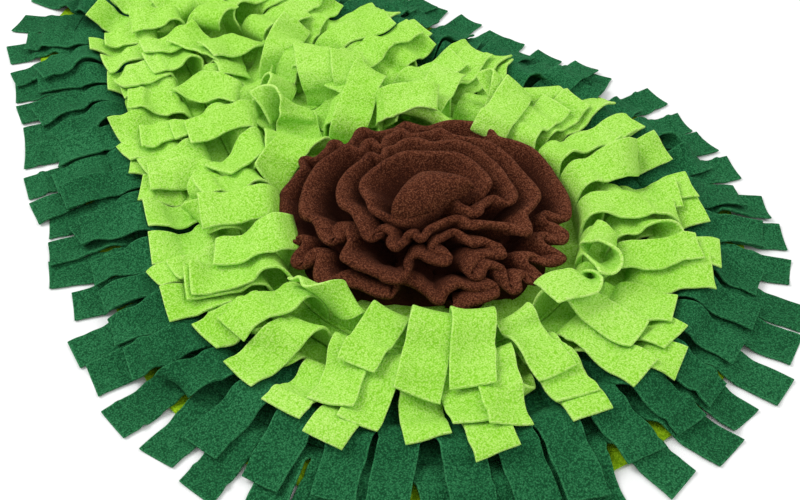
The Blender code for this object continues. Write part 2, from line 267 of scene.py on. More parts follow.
def startStrips(roots, headings, rootZ, lot):
    # Strips as they spring from their seam. A frame of three axes is carried along each one: every step
    # bends it downwards about its side and twists it about its length, most of the bend coming at bendAt.
    n, m = fleece["rowsAlong"], fleece["rowsAcross"]
    share = np.linspace(0, 1, n)
    bell = np.exp(-0.5 * ((share[None, 1:] - lot["bendAt"][:, None]) / lot["bendWide"][:, None]) ** 2)
    bell = bell + anyStrip["evenly"]
    atTip = np.exp(-0.5 * ((share[None, 1:] - anyStrip["tipAt"]) / anyStrip["tipWide"]) ** 2)
    bends = (lot["curl"][:, None] * bell / bell.sum(axis=1, keepdims=True)
             + lot["tip"][:, None] * atTip / atTip.sum(axis=1, keepdims=True))
    twists = lot["twist"][:, None] * np.clip((share[None, 1:] - lot["uncut"][:, None]) * 4, 0, 1) / (n - 1)
    turn = headings[:, None] + lot["yaw"][:, None] * eased(share * 3)[None, :]
    ahead = np.stack([np.cos(lot["tilt"]) * np.cos(turn[:, 0]), np.cos(lot["tilt"]) * np.sin(turn[:, 0]),
                      np.sin(lot["tilt"])], axis=1)
    side = np.stack([np.sin(turn[:, 0]), -np.cos(turn[:, 0]), np.zeros(len(roots))], axis=1)
    up = np.cross(side, ahead)
    middle = np.concatenate([roots, np.full((len(roots), 1), rootZ)], axis=1)
    middles, sides, aheads = [middle], [side], [ahead]
    for number in range(n - 1):
        bend, twist = bends[:, number, None], twists[:, number, None]
        ahead, up = turnedBy(bend, ahead, up)
        side, up = turnedBy(-twist, side, up)
        ahead, side = turnedBy((turn[:, number + 1] - turn[:, number])[:, None], ahead, side)
        middle = middle + ahead * (lot["length"] / (n - 1))[:, None]
        middles.append(middle)
        sides.append(side)
        aheads.append(ahead)
    width = lot["width"][:, None] * np.ones(n)[None, :]
    if lot["pitch"]:
        # The uncut part is one cloth with its neighbours, so it is as wide as the room between the slits.
        fan = lot["pitch"] * (1 + share[None, :] * lot["length"][:, None] / lot["radius"][:, None])
        width = width + uncutAlong(lot, share, 0.05) * (fan * 1.004 - width)
    across = np.linspace(-0.5, 0.5, m)[None, None, :, None] * width[:, :, None, None]
    skewed = across * (lot["skew"][:, None] * share[None, :] ** 3)[:, :, None, None]
    return (np.stack(middles, axis=1)[:, :, None, :] + np.stack(sides, axis=1)[:, :, None, :] * across
            + np.stack(aheads, axis=1)[:, :, None, :] * skewed)


def linkPairs(n, m):
    # Slices of the grid whose points hold each other at a distance, each with its firmness: links along,
    # across and on both diagonals, then links over two and four steps that resist bending.
    every = slice(None)
    pairs = []

    def links(step, size, firmness, lengthways):
        # No point is in two links of one turn, so each turn can be worked out at once.
        for first in range(2 * step):
            count = len(range(first, size - step, 2 * step))
            if count:
                near = slice(first, first + 2 * step * count, 2 * step)
                far = slice(first + step, first + step + 2 * step * count, 2 * step)
                pairs.append((near, every, far, every, firmness) if lengthways
                             else (every, near, every, far, firmness))

    links(1, n, 1.0, True)
    for first in (0, 1):
        near, far = slice(first, n - 1, 2), slice(first + 1, n, 2)
        pairs.append((near, slice(0, m - 1), far, slice(1, m), settling["diagonal"]))
        pairs.append((near, slice(1, m), far, slice(0, m - 1), settling["diagonal"]))
    links(1, m, 1.0, False)
    links(2, n, "bend", True)
    links(4, n, "arch", True)
    links(2, m, settling["across"][0], False)
    links(4, m, settling["across"][1], False)
    return pairs


def settleStrips(points, lot, below, own):
    # The strips fall under their own weight onto the pile. Each round pulls linked points back to the
    # distance they were cut and bent to, then lifts what is under the pile's surface. The first rows stay
    # where they are sewn.
    n, m = fleece["rowsAlong"], fleece["rowsAcross"]
    pairs = []
    for rowA, colA, rowB, colB, firmness in linkPairs(n, m):
        rest = np.linalg.norm(points[:, rowB, colB] - points[:, rowA, colA], axis=-1, keepdims=True)
        bend, arch = lot["stiffness"], lot["stiffness"] * settling["arch"]
        firmness = {"bend": bend, "arch": arch}.get(firmness, firmness)
        pairs.append((rowA, colA, rowB, colB, rest, firmness * 0.5))
    heldRows = 3 + int(round((lot["uncut"].max(initial=0) + lot["stand"]) * (n - 1)))
    held = points[:, :heldRows].copy()
    before = points.copy()
    weight = np.array([0, 0, settling["pull"] * lot["weight"]])
    half = fleece["thickness"] / 2 + fleece["clear"]
    ownFrom = max(4, heldRows)
    across = np.linspace(-0.5, 0.5, m)[None, None, :, None]
    for number in range(settling["steps"]):
        moved = points + (points - before) * settling["damping"] - weight
        before = points
        points = moved
        points[:, :heldRows] = held
        for _ in range(settling["rounds"]):
            for rowA, colA, rowB, colB, rest, firmness in pairs:
                a, b = points[:, rowA, colA], points[:, rowB, colB]
                apart = b - a
                length = np.sqrt((apart * apart).sum(-1, keepdims=True)) + 1e-9
                pull = apart * (firmness * (1 - rest / length))
                a += pull
                b -= pull
            points[:, :heldRows] = held
        # Cloth that is bent along its length is stiff across it, so each row of points is drawn to the
        # straight line that fits it best.
        slope = (points * across).sum(axis=2, keepdims=True) / (across**2).sum()
        points += (points.mean(axis=2, keepdims=True) + slope * across - points) * settling["flatness"]
        floor = below.under(points)
        floor[:, ownFrom:] = np.maximum(floor[:, ownFrom:], own.under(points[:, ownFrom:]))
        sunk = floor + half - points[..., 2]
        touching = sunk > 0
        points[..., 2] += np.where(touching, np.minimum(sunk, settling["lift"]), 0)
        slip = points[..., :2] - before[..., :2]
        before[..., :2] += np.where(touching[..., None], slip * settling["grip"], 0)
        rosetteWall(points)
        points[:, :heldRows] = held
    return points


def fineStrips(points, lot):
    # Thickens each settled strip: read finely along and across, then offset to both sides of its middle
    # surface, with rounded edges and tip. Gives points, quads and how near each point is to a cut edge.
    half = fleece["thickness"] / 2
    along = np.concatenate([np.linspace(0, 1, 34)[:-1] * 0.984, [0.984, 0.994, 1.0]])
    endRound = np.concatenate([np.ones(34), [0.85, 0.4]])
    rim = 2 * half / lot["width"].mean()
    across = np.array([-1, -1 + 0.35 * rim, -1 + rim, -0.7, -0.35, 0, 0.35, 0.7, 1 - rim, 1 - 0.35 * rim, 1])
    edgeRound = np.array([0.4, 0.8, 1, 1, 1, 1, 1, 1, 1, 0.8, 0.4])
    uncut = uncutAlong(lot, along, 0.02)[:, :, None]
    section = endRound[None, :, None] * (edgeRound + (1 - edgeRound) * uncut)
    surface = np.einsum("ai,sijc,bj->sabc", smoothWeights(points.shape[1], along), points,
                        smoothWeights(points.shape[2], (across + 1) / 2))
    # The scissors wander a little along both sides.
    random = np.random.default_rng(len(points))
    sideways = surface[:, :, -1:] - surface[:, :, :1]
    sideways /= np.linalg.norm(sideways, axis=-1, keepdims=True) + 1e-9
    wander = random.normal(0, fleece["wander"], (len(points), 12, 2))
    wander = np.einsum("ai,sij->saj", smoothWeights(12, along), wander) * (1 - uncut)
    pulled = (np.clip(-across, 0, 1)**4)[None, None] * wander[..., :1]
    pulled = pulled + (np.clip(across, 0, 1)**4)[None, None] * wander[..., 1:]
    surface = surface + sideways * pulled[..., None]
    normal = np.cross(np.gradient(surface, axis=2), np.gradient(surface, axis=1))
    normal /= np.linalg.norm(normal, axis=-1, keepdims=True) + 1e-12
    # Between its edges a strip bulges to one side.
    bulge = lot["cup"][:, None, None] * (1 - across**2)[None, None]
    bulge = bulge * eased(along * 4)[None, :, None] * (1 - uncut)
    surface = surface - normal * bulge[..., None]
    offset = normal * (half * section)[..., None]
    loop = np.concatenate([surface + offset, (surface - offset)[:, :, ::-1]], axis=2)
    loop[..., 2] = np.maximum(loop[..., 2], 0.00005)
    edge = np.maximum((np.abs(across) > 1 - 0.6 * rim) * (1 - uncut), (endRound < 1)[None, :, None])
    edge = np.concatenate([edge, edge[:, :, ::-1]], axis=2)
    strips, rings, around = loop.shape[:3]
    quads = tubeQuads(rings, around)
    allQuads = (quads[None] + (np.arange(strips) * rings * around)[:, None, None]).reshape(-1, 4)
    return loop.reshape(-1, 3), allQuads, edge.reshape(-1)


def coverWith(pile, points):
    # Lays settled strips into the pile's heights.
    share = np.linspace(0, 1, 70)
    acrossShare = np.linspace(0, 1, 24)
    fine = np.einsum("ai,sijc,bj->sabc", smoothWeights(points.shape[1], share), points,
                     smoothWeights(points.shape[2], acrossShare))
    pile.cover(fine, fleece["thickness"] / 2)


def drawLots(random, row, count):
    def between(key):
        low, high = row[key]
        return random.uniform(low, high, count)

    lot = {"tilt": np.radians(between("tilt")), "curl": np.radians(between("curl")),
           "bendAt": between("bendAt"),
           "bendWide": np.full(count, row.get("bendWide", anyStrip["bendWide"])),
           "length": between("length"),
           "yaw": np.radians(random.uniform(-1, 1, count) * row["yaw"]),
           "twist": np.radians(random.uniform(-1, 1, count) * row["twist"]),
           "tip": np.radians(between("tip")),
           "skew": random.uniform(-anyStrip["skew"], anyStrip["skew"], count),
           "width": row["width"] * random.uniform(*anyStrip["trim"], count), "uncut": np.zeros(count),
           "stand": row.get("stand", 0.0), "cup": between("cup")}
    # Some strips keep a tighter loop than the rest, and some ends hook down.
    looped = random.random(count) < row.get("looped", 0)
    lot["curl"] = lot["curl"] + np.radians(random.uniform(*anyStrip["moreLooped"], count)) * looped
    hooked = random.random(count) < row.get("hooked", 0)
    lot["tip"] = np.where(hooked, np.radians(random.uniform(*anyStrip["hookedBy"], count)), lot["tip"])
    return lot


def chosenOf(lot, chosen):
    return {key: value[chosen] if isinstance(value, np.ndarray) else value for key, value in lot.items()}


def settleBand(row, roots, headings, random, pile, pitch, radius, leanMost):
    # Settles a band's strips in turns, each turn on top of the last. pitch and radius are those of a ring,
    # and 0 and None in a straight row.
    count = len(roots)
    lot = drawLots(random, row, count)
    if "uncut" in row:
        # Near the front the slits start later, and the uncut cloth keeps its strips together.
        away = angleBetween(headings, np.radians(row["uncutFront"]))
        near = eased((np.radians(frontPart["within"]) - away) / np.radians(frontPart["easedOver"]))
        beside, ahead = row["uncut"]
        lot["uncut"] = beside + (ahead - beside) * near
        for key in ("tilt", "bendAt", "curl"):
            lot[key] = lot[key] + frontPart["alike"] * near * (lot[key].mean() - lot[key])
    lot["tilt"] = np.minimum(lot["tilt"], leanMost)
    if row["slot"] == "light_fleece" and pitch:
        # Along the neck's left flank the light rings' strips are cut shorter.
        upFlank = eased((roots[:, 1] - wideY - flankTrim["from"]) / flankTrim["over"])
        lot["length"] = lot["length"] * (1 - flankTrim["share"] * (upFlank * (roots[:, 0] < middleX)))
    lot.update(stiffness=row["stiffness"], weight=row["weight"], pitch=pitch,
               radius=np.full(count, 1e9) if radius is None else radius)
    settled = np.zeros((count, fleece["rowsAlong"], fleece["rowsAcross"], 3))
    below = pile.spread()
    rootZ = backingTop + fleece["clear"] + fleece["thickness"] / 2
    for turn in range(row["turns"]):
        chosen = np.arange(turn, count, row["turns"])
        part = chosenOf(lot, chosen)
        start = startStrips(roots[chosen], headings[chosen], rootZ, part)
        settled[chosen] = settleStrips(start, part, below, pile.spread())
        coverWith(pile, settled[chosen])
    return settled, lot


def seamBand(roots, headings, closed, header):
    # The sewn header under the roots: a flat rounded section, header wide, carried along them.
    half = fleece["thickness"] / 2
    section = np.array([[0.0010, -0.5], [0.0010, 0.5], [-0.0002, 1], [0.0008, 1],
                        [0, 0.5], [0, -0.5], [0.0008, -1], [-0.0002, -1]])
    inner = np.array([0, 0, 0, 1, 1, 1, 1, 0])
    out = np.stack([np.cos(headings), np.sin(headings)], axis=1)
    ahead = section[None, :, :1] - inner[None, :, None] * np.reshape(header, (-1, 1, 1))
    points = np.zeros((len(roots), len(section), 3))
    points[..., :2] = roots[:, None] + out[:, None] * ahead
    points[..., 2] = backingTop + fleece["clear"] + half + half * section[None, :, 1]
    return points.reshape(-1, 3), tubeQuads(len(roots), len(section), closed), np.zeros(points.size // 3)


def joined(parts):
    # One set of points, quads and edge values made of several.
    counts = np.cumsum([0] + [len(part[0]) for part in parts])
    return (np.concatenate([part[0] for part in parts]),
            np.concatenate([part[1] + start for part, start in zip(parts, counts)]),
            np.concatenate([part[2] for part in parts]))


class Socket:
    # A shader socket that does maths: an expression on sockets and numbers adds its Math nodes.
    def __init__(self, tree, output):
        self.tree, self.output = tree, output

    def mathNode(self, operation, *values):
        node = self.tree.nodes.new("ShaderNodeMath")
        node.operation = operation
        for place, value in enumerate(values):
            if isinstance(value, Socket):
                self.tree.links.new(value.output, node.inputs[place])
            else:
                node.inputs[place].default_value = value
        return Socket(self.tree, node.outputs[0])

    def __add__(self, other):
        return self.mathNode("ADD", self, other)

    def __sub__(self, other):
        return self.mathNode("SUBTRACT", self, other)

    def __rsub__(self, other):
        return self.mathNode("SUBTRACT", other, self)

    def __mul__(self, other):
        return self.mathNode("MULTIPLY", self, other)

    __radd__ = __add__
    __rmul__ = __mul__


class Shading:
    # A material's node tree, with one method that adds any node.
    def __init__(self, name):
        self.material = bpy.data.materials.new(name)
        self.material.use_nodes = True
        self.tree = self.material.node_tree
        self.tree.nodes.clear()

    def node(self, kind, settings=(), **values):
        made = self.tree.nodes.new(kind)
        for key, value in dict(settings).items():
            if key == "stops":
                ramp = made.color_ramp
                for place, (position, colour) in enumerate(value):
                    stop = ramp.elements[place] if place < 2 else ramp.elements.new(position)
                    stop.position, stop.color = position, colour
            else:
                setattr(made, key, value)
        for key, value in values.items():
            socket = made.inputs[key.replace("_", " ")]
            if isinstance(value, Socket):
                self.tree.links.new(value.output, socket)
            else:
                socket.default_value = value
        return made

    def out(self, node, name=0):
        return Socket(self.tree, node.outputs[name])


def fleeceMaterial(name, look):
    # Polar fleece: a pebbly nap of small soft lumps with painted highlight on their tops and painted shade in
    # their pits, a slow random drift of tone, and loose fibres that lighten the cut edges; on the rosette,
    # painted shade towards each petal's foot.
    shade = Shading(name)
    place = shade.out(shade.node("ShaderNodeTexCoord"), "Object")
    clumps = shade.out(shade.node("ShaderNodeTexNoise", Vector=place, Scale=look["lumps"] * 0.5,
                                  Detail=2.0))
    lumps = shade.out(shade.node("ShaderNodeTexVoronoi", {"feature": "SMOOTH_F1"}, Vector=place,
                                 Scale=look["lumps"], Smoothness=0.8), "Distance")
    fuzz = shade.out(shade.node("ShaderNodeTexNoise", Vector=place, Scale=look["lumps"] * 2.4, Detail=3.0,
                                Roughness=0.65))
    drift = shade.out(shade.node("ShaderNodeTexNoise", Vector=place, Scale=16.0, Detail=2.0))
    # The nap's height also sets its colour: painted shade in the pits, painted highlight on the lump tops.
    raised = (1 - lumps * 1.2) * 0.5 + fuzz * 0.35 + clumps * 0.35
    tone = raised * 0.85 + drift * 0.2 - 0.02
    if look["edge"]:
        cut = shade.out(shade.node("ShaderNodeAttribute", {"attribute_name": "cutEdgeAndShade"}), "Fac")
        # Lighter cut edges, and on the rosette painted shade that darkens each petal towards its foot.
        tone = tone + (cut - look["darkerBelow"]) * look["edge"]
    middle = 0.61
    low, high = middle - look["spread"], middle + 1.2 * look["spread"]
    stops = [(low, (*look["deep"], 1)), (middle, (*look["mid"], 1)), (high, (*look["high"], 1))]
    colour = shade.node("ShaderNodeValToRGB", {"stops": stops}, Fac=tone)
    bump = shade.node("ShaderNodeBump", Height=raised, Strength=look["bump"], Distance=0.0014)
    surface = shade.node("ShaderNodeBsdfPrincipled", Base_Color=shade.out(colour), Roughness=0.96,
                         Normal=shade.out(bump))
    surface.inputs["Specular IOR Level"].default_value = 0.10
    surface.inputs["Sheen Weight"].default_value = look["sheen"]
    surface.inputs["Sheen Roughness"].default_value = 0.45
    surface.inputs["Sheen Tint"].default_value = (*look["high"], 1)
    shade.node("ShaderNodeOutputMaterial", Surface=shade.out(surface))
    return shade.material


# deep, mid, high: the colours of the pits, the nap and its tops, over the tones that spread gives; the darker
# pits and lighter tops are painted shade and painted highlight. edge: how much lighter a cut edge is, and on
# the rosette how strongly painted shade darkens each petal towards its foot, counted from darkerBelow.
fleeceLooks = {
    "dark_fleece": {
        "deep": (0.006, 0.066, 0.022), "mid": (0.0155, 0.138, 0.047), "high": (0.046, 0.240, 0.094),
        "lumps": 1050.0, "bump": 0.8, "sheen": 0.20, "edge": 0.12, "darkerBelow": 0.0, "spread": 0.14,
    },
    "light_fleece": {
        "deep": (0.240, 0.600, 0.024), "mid": (0.418, 0.778, 0.112), "high": (0.628, 0.895, 0.265),
        "lumps": 1050.0, "bump": 0.65, "sheen": 0.15, "edge": 0.12, "darkerBelow": 0.0, "spread": 0.175,
    },
    # For the brown fleece the edge values paint shade that darkens each rosette petal towards its foot and
    # the creases between turns.
    "brown_fleece": {
        "deep": (0.044, 0.011, 0.005), "mid": (0.110, 0.031, 0.013), "high": (0.230, 0.082, 0.042),
        "lumps": 1050.0, "bump": 0.85, "sheen": 0.15, "edge": 0.22, "darkerBelow": 0.95, "spread": 0.14,
    },
    "backing_cloth": {
        "deep": (0.180, 0.350, 0.004), "mid": (0.280, 0.510, 0.008), "high": (0.380, 0.640, 0.02),
        "lumps": 900.0, "bump": 0.5, "sheen": 0.10, "edge": 0, "spread": 0.14,
    },
}
materials = {name: fleeceMaterial(name, look) for name, look in fleeceLooks.items()}
report("materials")


# Degrees and metres, mostly as (least, most). inset: from the line of the tips to the seam. tilt: how steeply
# a strip leaves its seam. curl: how far it bends over from there, most of it at the share bendAt of its
# length. looped, hooked: the share of strips with a tighter loop, and of ends that hook down. tip: how far
# the end bends. twist, yaw: how far a strip may turn. cup: its bulge between its edges. stiffness: how well
# the fleece keeps that shape. weight: its fall, as a share of settling's pull. stand: the share that the seam
# holds up. header: the width of the sewn margin. uncut: the share before the slits start, beside and at the
# front. turns: a strip and its neighbours are laid in turns.
darkStrips = {"slot": "dark_fleece", "width": 0.0242, "turns": 2, "header": 0.0225}
lightStrips = {"slot": "light_fleece", "held": "draped", "stiffness": 0.9, "cup": (-0.0002, 0.0018)}
bandRows = {
    "rim_fringe_outer": {
        **darkStrips, "inset": 0.052, "count": 57, "held": "laid", "length": (0.049, 0.061),
        "tilt": (6, 26), "curl": (10, 50), "bendAt": (0.3, 0.7), "tip": (-10, 30), "hooked": 0.35,
        "yaw": 14, "twist": 34, "cup": (0.0002, 0.0022), "stiffness": 0.8, "weight": 0.35,
        "uncut": (0.20, 0.20), "uncutFront": -125,
    },
    "rim_fringe_inner": {
        **darkStrips, "inset": 0.078, "count": 51, "held": "draped", "length": (0.060, 0.070),
        "tilt": (34, 64), "curl": (80, 124), "bendAt": (0.34, 0.50), "tip": (0, 50), "hooked": 0.4,
        "yaw": 13, "twist": 60, "cup": (0.0008, 0.0028), "stiffness": 0.95, "weight": 0.22,
        "uncut": (0.0, 0.28), "uncutFront": -118,
    },
    "flesh_fringe_outer": {
        **lightStrips, "inset": 0.104, "count": 44, "width": 0.0256, "length": (0.056, 0.068),
        "tilt": (62, 95), "curl": (70, 130), "looped": 0.15, "bendAt": (0.22, 0.42), "tip": (-10, 45),
        "hooked": 0.3, "yaw": 23, "twist": 55, "turns": 3, "weight": 0.35, "stand": 0.06, "header": 0.0135,
    },
    "flesh_fringe_middle": {
        **lightStrips, "inset": 0.119, "count": 40, "width": 0.0256, "length": (0.060, 0.076),
        "tilt": (75, 108), "curl": (95, 150), "looped": 0.2, "bendAt": (0.26, 0.42), "tip": (-20, 45),
        "hooked": 0.35, "yaw": 26, "twist": 65, "turns": 3, "weight": 0.3, "stand": 0.12, "header": 0.0135,
    },
    # sprungInside: how far inside its seam a strip springs. inwards: from where to where up the neck two of
    # three strips fall inwards. headerBeside: the header's width there.
    "flesh_fringe_inner": {
        **lightStrips, "inset": 0.134, "count": 37, "width": 0.0262, "length": (0.072, 0.088),
        "tilt": (116, 128), "curl": (124, 160), "looped": 0.15, "bendAt": (0.36, 0.44), "bendWide": 0.10,
        "tip": (-20, 45), "hooked": 0.35, "yaw": 25, "twist": 46, "turns": 3, "weight": 0.25,
        "stand": 0.18, "header": 0.036, "headerBeside": 0.008, "sprungInside": 0.002,
        "inwards": (0.030, 0.240),
    },
}
# first, apart: from the wide end's centre to the first row, and from row to row. backwards: the share of
# strips that lie towards the wide end. sideTurn: how far the strips at a row's ends turn aside.
neckRows = {
    **lightStrips, "rows": 8, "first": 0.113, "apart": 0.0235, "sideClear": 0.004, "pitch": 0.0264,
    "seamInset": 0.139, "width": 0.0268, "length": (0.060, 0.078), "tilt": (72, 100), "curl": (90, 150),
    "looped": 0.3, "bendAt": (0.24, 0.40), "tip": (-25, 50), "yaw": 42, "twist": 26, "turns": 4,
    "weight": 0.32, "stand": 0.08, "header": 0.0215, "firstHeader": 0.030, "backwards": 0.35,
    "sideTurn": 75,
}
bodyName = "root"


def rosetteRim(away):
    # How far the rosette reaches in the direction of each point, from the way of its fold.
    angles = np.arctan2(foldLine[:, 1], foldLine[:, 0])
    reach = np.hypot(foldLine[:, 0], foldLine[:, 1])
    turn = np.linspace(-np.pi, np.pi, 49)
    apart = angleBetween(angles[None, :], turn[:, None])
    rim = np.where(apart < rosette["rimWindow"], reach[None, :], 0).max(axis=1)
    return np.interp(np.arctan2(away[..., 1], away[..., 0]), turn, rim)


def rosetteWall(points):
    # Strips stay out of the rosette, which is footInside narrower at its foot and flares up to flareTop.
    away = points[..., :2] - rosetteCentre
    distance = np.hypot(away[..., 0], away[..., 1])
    height = np.clip(points[..., 2], 0, rosette["flareTop"])
    needed = rosetteRim(away) - rosette["footInside"] + rosette["flare"] * height
    push = np.clip(needed - distance, 0, rosette["push"])
    points[..., :2] += away / (distance[..., None] + 1e-9) * push[..., None]


def dressBand(name, row, roots, headings, random, pile, pitch=0.0, radius=None):
    # Beside the rosette a strip leans back no further than the rosette's rim.
    away = roots - rosetteCentre
    room = np.hypot(*away.T) - rosetteRim(away) - rosette["clear"]
    leanMost = np.pi / 2 + np.arctan2(np.clip(room, *rosette["leanRoom"]), rosette["leanRise"])
    # A strip that falls inwards rises almost straight up first.
    facingIn = (roots[:, 0] - middleX) * np.cos(headings) < 0
    leanMost = np.where(facingIn, np.minimum(leanMost, np.radians(rosette["inwardLean"])), leanMost)
    settled, lot = settleBand(row, roots, headings, random, pile, pitch, radius, leanMost)
    header = row["header"]
    if pitch:
        seamRoots, seamHeadings, _, _ = ringPlaces(row["inset"], row["count"] * 3)
        # A header ends under the rosette's rim, and beside the neck's rows the innermost ring's is narrower.
        upTheNeck = eased((seamRoots[:, 1] - wideY - neckRows["first"] + 0.035) / 0.02)
        toRosette = np.hypot(*(seamRoots - rosetteCentre).T) - rosette["headerEnd"]
        header = np.minimum(header, np.maximum(toRosette, rosette["leastHeader"]))
        header = header + (row.get("headerBeside", header) - header) * upTheNeck
    else:
        side = np.array([row["width"] / 2, 0.0])
        seamRoots = np.linspace(roots[0] - side, roots[-1] + side, 3 * len(roots) + 1)
        seamHeadings = np.full(len(seamRoots), math.pi / 2)
    parts = [seamBand(seamRoots, seamHeadings, pitch > 0, header), fineStrips(settled, lot)]
    piece = meshPiece(f"{name}_cloth", *joined(parts), materials[row["slot"]])
    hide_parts(name)
    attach(piece, bodyName)
    row["width"] * len(roots)
    float(lot["length"].mean() + np.mean(header))
    report(name)


# A strip of fleece folded along its middle, gathered and wound outwards. foldLine is the way of the fold in
# millimetres from the rosette's middle: (across, ahead, height). heart is the strip's inner end, folded flat
# over the middle: (across, ahead, height) of its back edge, then of its front edge.
rosette = {"centreY": 0.0092, "clear": 0.004, "room": 0.0074, "rounds": 90, "spacing": 0.0019,
           "heartThick": 0.0064, "stations": 1250, "frontAngle": -129.7, "droopBehind": 0.2,
           "rimWindow": 0.16, "footInside": 0.019, "flare": 0.85, "flareTop": 0.026, "push": 0.0015,
           "leanRoom": (-0.004, 0.03), "leanRise": 0.020, "inwardLean": 86, "headerEnd": 0.070,
           "leastHeader": 0.008, "apart": 0.22, "smoothing": 0.03, "homing": 0.06}
rosetteCentre = wideCentre + [0, rosette["centreY"]]
# The shape of a petal's section. shoulderIn, shoulderRise, footIn: the value without droop, and what full
# droop adds. droops: how far from the middle petals start to droop, and over what distance. nearRim: the same
# for being at the rim. closed: the same along the strip for closing over the middle. follows: how far the
# shoulder follows the ruffles. tapered: the length over which the strip's ends rise to their full height.
petal = {"calmOver": 0.009, "follows": 0.62, "shoulderIn": (0.003, 0.013), "shoulderRise": (-0.013, 0.011),
         "footIn": (0.009, 0.019), "droops": (0.025, 0.03), "nearRim": (0.020, 0.014), "rimOver": 0.012,
         "closed": (0.165, 0.03), "tapered": 0.02, "uneven": 0.0005, "unevenOver": 0.0035}
foldLine = np.array([
    (17, -27, 46), (24, -34, 47), (31, -31, 48), (34, -22, 49), (36, -11, 49), (35, 3, 49),
    (28, 13, 49), (17, 20, 49), (6, 29, 49), (-4, 29, 49), (-16, 29, 48), (-29, 25, 48), (-35, 19, 47),
    (-39, 10, 46), (-41, -1, 45), (-40, -11, 44), (-35, -18, 44), (-27, -21, 44), (-16, -20, 44),
    (-7, -21, 43), (3, -19, 43), (8, -23, 43), (7, -31, 43), (8, -40, 42), (13, -41, 42), (21, -36, 42),
    (29, -34, 42), (32, -40, 42), (35, -47, 42), (43, -43, 42), (48, -28, 43), (50, -19, 44),
    (51, -6, 44), (51, 5, 45), (48, 17, 45), (40, 25, 45), (30, 29, 45), (27, 38, 45), (18, 43, 45),
    (8, 41, 45), (3, 44, 45), (-7, 38, 45), (-7, 46, 45), (-17, 43, 45), (-27, 41, 45), (-38, 37, 44),
    (-47, 30, 43), (-53, 20, 42), (-55, 9, 41), (-56, -2, 40), (-56, -12, 39), (-55, -18, 39),
    (-49, -14, 39), (-43, -15, 39), (-43, -21, 39), (-49, -25, 38), (-48, -33, 38), (-42, -34, 38),
    (-35, -30, 38), (-30, -30, 38), (-32, -36, 38), (-27, -37, 38), (-21, -35, 39), (-12, -35, 39),
    (-3, -33, 39), (3, -34, 39), (3, -43, 39), (5, -49, 38), (11, -50, 38), (18, -54, 37),
    (25, -62, 36), (30, -70, 35), (36, -65, 35), (40, -56, 35), (48, -54, 36), (56, -51, 37),
    (61, -42, 38), (63, -26, 39), (67, -8, 39), (66, 8, 40), (62, 18, 40), (54, 27, 40), (50, 34, 40),
    (49, 43, 40), (41, 44, 40), (29, 50, 40), (28, 59, 40), (19, 58, 40), (10, 58, 40), (4, 52, 40),
    (5, 63, 40), (-8, 57, 40), (-13, 67, 40), (-27, 65, 40), (-39, 63, 39), (-53, 55, 38),
    (-62, 47, 37), (-71, 38, 35), (-74, 31, 34), (-70, 26, 34), (-72, 17, 33), (-75, 7, 32),
    (-74, 1, 32), (-66, 6, 32), (-60, 12, 33), (-55, 10, 33), (-59, -1, 33), (-67, -6, 32),
    (-74, -11, 31), (-75, -18, 31), (-71, -28, 30), (-65, -39, 30), (-57, -47, 29), (-51, -45, 30),
    (-44, -39, 30), (-36, -37, 31), (-33, -42, 31), (-31, -51, 31), (-25, -57, 31), (-20, -54, 31),
    (-24, -49, 31), (-28, -42, 32), (-22, -37, 33), (-12, -35, 33), (-2, -38, 33), (-2, -46, 33),
    (-2, -54, 32), (6, -55, 31), (8, -63, 30), (11, -71, 30), (5, -71, 29), (0, -64, 29), (-5, -63, 28),
    (-12, -67, 27), (-19, -73, 26), (-17, -77, 25), (-11, -73, 26), (-6, -70, 27), (-1, -71, 27),
    (2, -77, 26), (1, -82, 25), (-2, -88, 23), (-4, -94, 22), (1, -94, 22), (7, -91, 23), (10, -86, 24),
    (11, -92, 24), (11, -96, 24), (16, -96, 24), (20, -93, 24), (19, -84, 25), (22, -77, 26),
    (26, -83, 26), (30, -91, 25), (37, -94, 25), (42, -91, 25), (40, -83, 26), (38, -74, 27), (43, -70, 27),
    (47, -78, 27), (51, -82, 26), (57, -77, 26), (56, -68, 27), (52, -60, 28), (57, -56, 28), (62, -63, 28),
    (66, -69, 27), (72, -64, 27), (77, -57, 28), (83, -45, 28), (88, -30, 28), (92, -16, 29), (93, -3, 30),
    (88, 12, 30), (82, 22, 30), (86, 35, 30), (77, 47, 30),
    (66, 56, 30), (51, 59, 30), (46, 66, 30), (42, 74, 30), (30, 72, 30), (19, 77, 30), (14, 87, 30),
    (2, 80, 30), (-8, 78, 30), (-9, 88, 30), (-19, 83, 30), (-32, 79, 30), (-37, 86, 30), (-42, 78, 30),
    (-54, 71, 29), (-67, 65, 28), (-78, 50, 27), (-88, 32, 26), (-91, 23, 26), (-82, 24, 26),
    (-82, 18, 26), (-89, 14, 25), (-96, 11, 25), (-97, 4, 24), (-91, 4, 24), (-83, 11, 25),
    (-80, 7, 25), (-88, -3, 24), (-93, -11, 23), (-91, -19, 23), (-81, -19, 23), (-77, -26, 22),
    (-73, -36, 22), (-69, -47, 22), (-64, -50, 22), (-59, -44, 23), (-52, -46, 23), (-48, -52, 22),
    (-45, -59, 21), (-46, -68, 21), (-42, -73, 21), (-37, -70, 22), (-33, -69, 23), (-25, -70, 23),
    (-21, -75, 23), (-14, -79, 23), (-8, -83, 22), (-10, -88, 21), (-19, -88, 21), (-28, -84, 21),
    (-37, -80, 21), (-37, -75, 21)
]) / 1000
heart = np.array([
    (21, -26, 46, 15, -27, 45), (19, -17, 48, 7, -25, 45), (14, -10, 50, -2, -24, 45),
    (8, -3, 51, -12, -24, 45), (-0, 2, 51, -21, -22, 45), (-12, 1, 50, -28, -20, 44),
    (-23, -4, 48, -34, -17, 44), (-29, -8, 46, -36, -13, 44)
]) / 1000


